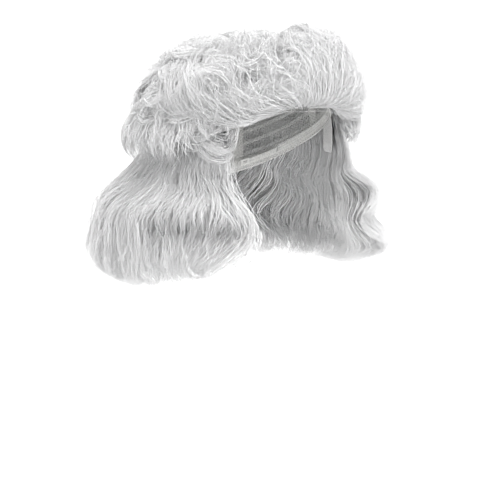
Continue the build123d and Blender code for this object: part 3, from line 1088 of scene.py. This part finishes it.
def add_ribbons():
    """The elastic ribbons between the band and the crown patch, each with ribs along it."""
    share = np.linspace(-1, 1, 15)[:, None]
    level = np.linspace(BAND_HEIGHT, PATCH_LEVEL - 0.3 * MM, 60)[None]
    inner, outer = rounded((share + 1) / 2, *RIBBON_LAYERS, ribs=3, rib_height=0.16 * MM)
    runs = {"front_ribbon": (0.0, -1), "centre_back_ribbon": (0.0, 1),
            "back_ribbon_left": (BACK_RIBBON_X, 1), "back_ribbon_right": (-BACK_RIBBON_X, 1)}
    for node, (middle, hand) in runs.items():
        faces = []
        for layer in (outer, inner):
            reach = HEAD_RADIUS + layer
            x = middle + RIBBON_HALF * share + 0 * level
            rise = level - DOME_LEVEL
            under = (TILT * reach) ** 2 - rise ** 2 - (TILT * x) ** 2
            y = (RIM_SLOPE * rise + hand * np.sqrt(np.maximum(under, 0))) / TILT ** 2
            low_y = hand * np.sqrt(reach ** 2 - x ** 2)
            y = np.where(level - RIM_SLOPE * y < DOME_LEVEL, low_y, y)
            faces.append(np.stack([x, y, level - RIM_SLOPE * y], axis=-1))
        if hand > 0:
            faces = [face[::-1] for face in faces]
        show_as(cloth_piece(f"{node}_elastic", *faces, elastic, "elastic"), node)
    for side, hand in SIDES:
        faces = []
        for layer in (outer, inner):
            y = RIBBON_HALF * share + 0 * level
            z = level - RIM_SLOPE * y
            across = (HEAD_RADIUS + layer) ** 2 - y ** 2 - np.maximum(z - DOME_LEVEL, 0) ** 2
            faces.append(np.stack([hand * np.sqrt(np.maximum(across, 0)), y, z], axis=-1))
        if hand < 0:
            faces = [face[::-1] for face in faces]
        ribbon = cloth_piece(f"side_ribbon_{side}_elastic", *faces, elastic, "elastic")
        show_as(ribbon, f"side_ribbon_{side}")


def add_wefts():
    """The sewn tracks: folded tape with two raised rows of stitching."""
    angles = np.linspace(0, 2 * np.pi, 260, endpoint=False)[None]
    share = np.linspace(0, 1, 15)[:, None]
    inner, outer = rounded(share, *WEFT_LAYERS, ribs=2, rib_height=0.3 * MM)
    lumps = 0.12 * MM * np.cos(angles * 130)
    for row in range(WEFT_COUNT):
        level = WEFT_FIRST + row * WEFT_PITCH + WEFT_HEIGHT * share
        faces = [dome_point(angles, level, layer + lumps) for layer in (outer, inner)]
        track = cloth_piece(f"weft_track_{row + 1}", *faces, track_cloth, "weft_track", closed=True)
        show_as(track, f"weft_{row + 1}")


def add_ear_tab(side, hand):
    """The tab in front of an ear: doubled cloth with round corners, hanging below the band."""
    node = f"ear_tab_{side}"
    share = np.linspace(0, 1, 33)
    angles = hand * np.linspace(*EAR_TAB_ANGLES, len(share))[None]
    down = np.linspace(0, 1, 25)[:, None]
    near = np.minimum(share, 1 - share)
    inset = np.maximum(EAR_TAB_CORNER_SHARE - near, 0) / EAR_TAB_CORNER_SHARE
    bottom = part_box(node)[0][2] + EAR_TAB_CORNER * (1 - np.sqrt(1 - inset ** 2))[None]
    rim = RIM_SLOPE * HEAD_RADIUS * np.cos(np.radians(angles))
    top = rim - EAR_TAB_GAP
    level = top + (bottom - top) * down - rim
    edge = np.minimum(near[None] * 2, (1 - down))
    hem = 0.2 * MM * np.exp(-((edge - 0.16) / 0.04) ** 2)
    thin = 0.5 * MM * (1 - smooth(edge, 0, 0.05))
    outer = rim_point(angles, level, EAR_TAB_THICK - thin - hem)[::-1]
    inner = rim_point(angles, level, thin + hem)[::-1]
    tab = cloth_piece(f"ear_tab_cloth_{side}", *mirrored([outer, inner], hand), backing, "net_backing")
    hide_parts(node)
    fold = rim_point(hand * EAR_TAB_FOLD, 0.0, EAR_TAB_THICK / 2)
    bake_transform(tab)


def add_adjuster(side, hand):
    """The nape adjuster: an elastic strap that runs to its hook."""
    angles = hand * np.linspace(*STRAP_ANGLES, 60)[None]
    share = np.linspace(0, 1, 13)[:, None]
    inner, outer = rounded(share, *STRAP_LAYERS, ribs=3, rib_height=0.1 * MM)
    low, high = STRAP_LEVELS
    faces = [rim_point(angles, low + (high - low) * share, layer) for layer in (outer, inner)]
    strap = cloth_piece(f"adjuster_elastic_{side}", *mirrored(faces, hand), elastic, "elastic")
    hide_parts(f"adjuster_strap_{side}")
    middle = (low + high) / 2
    start, end = [rim_point(hand * angle, middle, -3 * MM) for angle in (STRAP_ANGLES[0], HOOK_ANGLE)]
    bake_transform(strap)
    bar = zigzag(hand * np.linspace(*STRAP_STITCH_ANGLES, 3), middle, 2.4 * MM, -3.45 * MM)
    stitches(f"strap_bartack_{side}", bar)


def add_loops(side, hand):
    """The row of loops that the strap's hook goes into."""
    share = np.linspace(0, 1, 17)[:, None]
    level = LOOP_LEVELS[0] + (LOOP_LEVELS[1] - LOOP_LEVELS[0]) * share
    lift = 0.25 * MM * np.sin(np.pi * share)
    for number, angle in enumerate(LOOP_ANGLES):
        angles = hand * np.linspace(angle - LOOP_HALF_ANGLE, angle + LOOP_HALF_ANGLE, 7)[None]
        faces = [rim_point(angles, level, layer - lift) for layer in reversed(LOOP_LAYERS)]
        name = f"adjuster_loop_{side}_{number + 1}"
        loop = cloth_piece(name, *mirrored(faces, hand), elastic, "elastic")
        if number == 0:
            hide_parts(f"adjuster_loops_{side}")
        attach(loop, "cap")


def add_label():
    """The blank satin label, its edges folded under."""
    share = np.linspace(-1, 1, 41)[None]
    down = np.linspace(0, 1, 25)[:, None]
    low, high = LABEL_LEVELS
    level = low + (high - low) * down
    angles = 180 - np.degrees(np.arcsin(LABEL_HALF * share / HEAD_RADIUS))
    edge = 1 - np.abs(share)
    hem = 0.12 * MM * (np.exp(-((edge - 0.1) / 0.04) ** 2) + np.exp(-((down - 0.08) / 0.04) ** 2))
    ripple = 0.08 * MM * np.sin(7 * share + 9 * down)
    outer = rim_point(angles, level, LABEL_LAYERS[1] + ripple)
    inner = rim_point(angles, level, LABEL_LAYERS[0] + hem + ripple)
    label = cloth_piece("care_label_satin", outer, inner, satin, "label")
    show_as(label, "care_label")
    angles = 180 + np.linspace(LABEL_SEAM_ANGLE, -LABEL_SEAM_ANGLE, 40)
    stitches("label_stitches", rim_point(angles, high - 1.4 * MM, -1.0 * MM)[None])


def add_cap():
    start = BAND_SEAM - BAND_GAP_ANGLE
    add_band("front_band_elastic", "front_hairline_band", -start, start, 260)
    add_band("nape_band_elastic", "nape_band", BAND_SEAM, 360 - BAND_SEAM, 420)
    add_net()
    add_patch()
    add_ribbons()
    add_wefts()
    whole = np.arange(0, 360.1, 1.2)
    for name, levels in zip(("band_top_stitches", "band_rim_stitches"), BAND_STITCH_LEVELS):
        stitches(name, zigzag(whole, *levels, -0.1 * MM))
    for side, hand in SIDES:
        add_ear_tab(side, hand)
        add_adjuster(side, hand)
        add_loops(side, hand)
        bpy.data.objects[f"adjuster_hook_{side}"].material_slots[0].material = nylon
    add_label()


add_cap()
